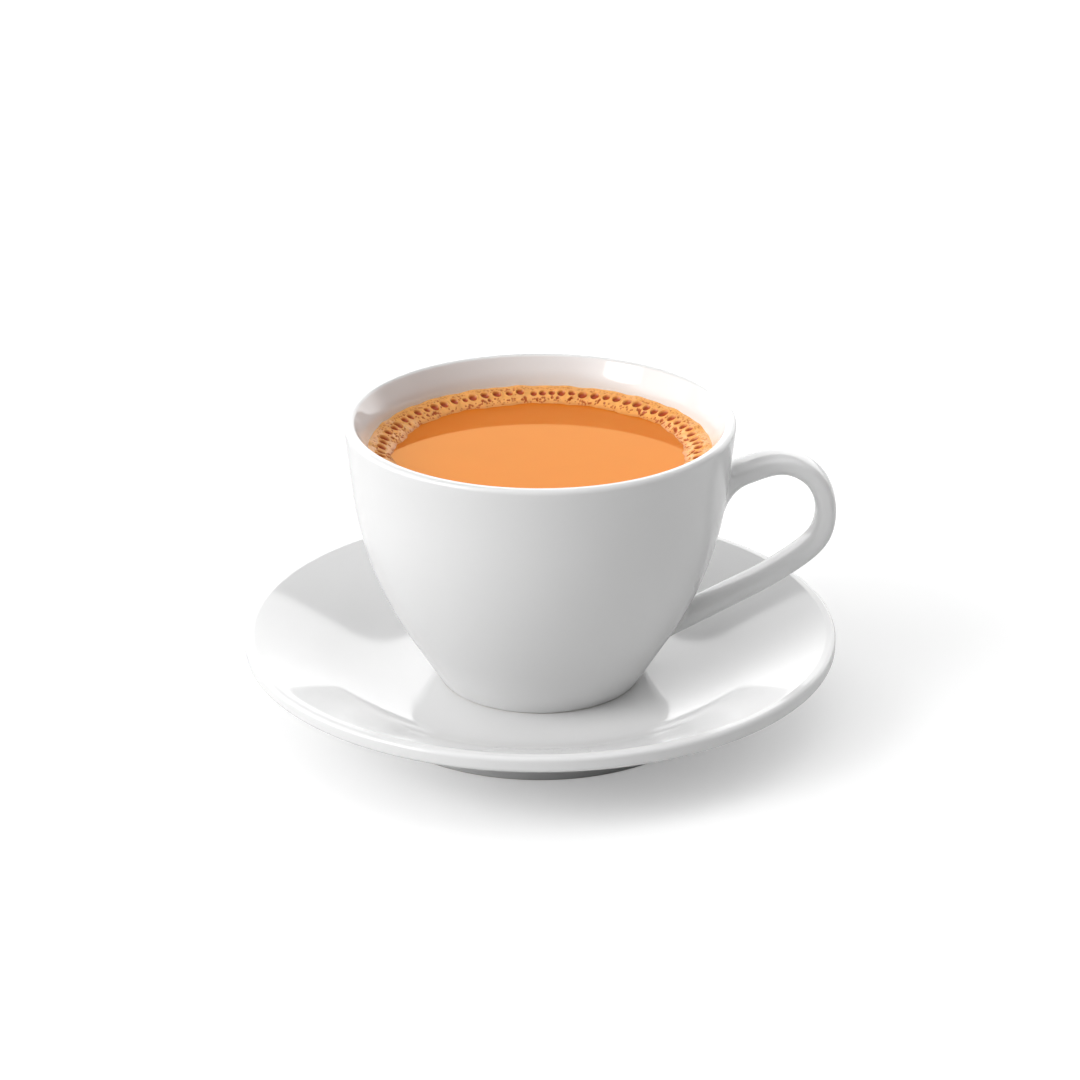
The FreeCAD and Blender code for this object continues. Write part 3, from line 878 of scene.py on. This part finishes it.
class CHAI_OT_stage(bpy.types.Operator):
    """Make the table, the studio light and the camera"""
    bl_idname = "chai.stage"
    bl_label = "Make stage"

    def execute(self, context):
        scene = context.scene
        mesh = bpy.data.meshes.new("studio_table")
        mesh.from_pydata([(x * TABLE_REACH, y * TABLE_REACH, 0)
                          for x, y in ((-1, -1), (1, -1), (1, 1), (-1, 1))], [], [(0, 1, 2, 3)])
        mesh.materials.append(lit_table(scene.chai_colours))
        table = bpy.data.objects.new("studio_table", mesh)
        scene.collection.objects.link(table)
        self.add_surroundings(scene)
        camera = bpy.data.objects.new("camera", bpy.data.cameras.new("camera"))
        camera.data.sensor_width = CAMERA_SENSOR
        camera.data.lens = CAMERA_LENS
        camera.location = CAMERA_PLACE
        aim(camera, CAMERA_AIM)
        scene.collection.objects.link(camera)
        scene.camera = camera
        scene.view_settings.view_transform = "Standard"
        return {"FINISHED"}

    @staticmethod
    def add_surroundings(scene):
        """A dark studio with a white backdrop and soft boxes that fade towards their edge."""
        world = bpy.data.worlds.new("studio room")
        world.use_nodes = True
        tree = world.node_tree
        tree.nodes.clear()
        way = add_node(tree, "ShaderNodeTexCoord").outputs["Generated"]
        split = add_node(tree, "ShaderNodeSeparateXYZ", {0: way})
        below = add_node(tree, "ShaderNodeMapRange", {
            "Value": split.outputs["Z"], "From Min": math.sin(BACKDROP_TOP + BACKDROP_FADE),
            "From Max": math.sin(BACKDROP_TOP - BACKDROP_FADE)},
            interpolation_type="SMOOTHSTEP")
        behind = add_node(tree, "ShaderNodeMapRange", {
            "Value": split.outputs["Y"], "From Min": BACKDROP_SIDES[0],
            "From Max": BACKDROP_SIDES[1], "To Max": BACKDROP_GLOW},
            interpolation_type="SMOOTHSTEP")
        total = add_node(tree, "ShaderNodeMath", {0: below.outputs[0], 1: behind.outputs[0]},
                         operation="MULTIPLY").outputs[0]
        for turn, height, strength, edge, core in SOFT_BOXES:
            turn, height = math.radians(turn), math.radians(height)
            middle = (math.cos(turn) * math.cos(height), math.sin(turn) * math.cos(height),
                      math.sin(height))
            near = add_node(tree, "ShaderNodeVectorMath", {0: way, 1: middle},
                            operation="DOT_PRODUCT")
            glow = add_node(tree, "ShaderNodeMapRange", {
                "Value": near.outputs["Value"], "From Min": math.cos(math.radians(edge)),
                "From Max": math.cos(math.radians(core)), "To Max": strength},
                interpolation_type="SMOOTHSTEP")
            total = add_node(tree, "ShaderNodeMath", {0: total, 1: glow.outputs[0]}).outputs[0]
        light = add_node(tree, "ShaderNodeBackground", {"Color": (1, 1, 1, 1),
                                                        "Strength": total})
        add_node(tree, "ShaderNodeOutputWorld", {"Surface": light.outputs[0]})
        scene.world = world


class CHAI_PT_panel(bpy.types.Panel):
    """Buttons and sizes in the sidebar"""
    bl_label = "Masala chai"
    bl_idname = "CHAI_PT_panel"
    bl_space_type = "VIEW_3D"
    bl_region_type = "UI"
    bl_category = "Chai"

    def draw(self, context):
        scene = context.scene
        for operator in OPERATORS:
            self.layout.operator(operator.bl_idname)
        for name, _ in GROUPS:
            box = self.layout.box()
            sizes = getattr(scene, name)
            for key in sizes.__annotations__:
                box.prop(sizes, key)


GROUPS = [("chai_saucer", ChaiSaucerSizes), ("chai_cup", ChaiCupSizes),
          ("chai_handle", ChaiHandleSizes), ("chai_drink", ChaiDrinkSizes),
          ("chai_colours", ChaiColours)]
OPERATORS = [CHAI_OT_saucer, CHAI_OT_cup, CHAI_OT_drink, CHAI_OT_froth, CHAI_OT_stage]


def register():
    """Make the settings and the operators known to Blender."""
    for name, group in GROUPS:
        bpy.utils.register_class(group)
        setattr(bpy.types.Scene, name, bpy.props.PointerProperty(type=group))
    for kind in OPERATORS + [CHAI_PT_panel]:
        bpy.utils.register_class(kind)


def unregister():
    """Take them out again in the opposite order."""
    for kind in [CHAI_PT_panel] + OPERATORS[::-1]:
        bpy.utils.unregister_class(kind)
    for name, group in GROUPS[::-1]:
        delattr(bpy.types.Scene, name)
        bpy.utils.unregister_class(group)


def main():
    register()
    for operator in OPERATORS:
        group, action = operator.bl_idname.split(".")
        getattr(getattr(bpy.ops, group), action)()


if __name__ == "__main__":
    main()
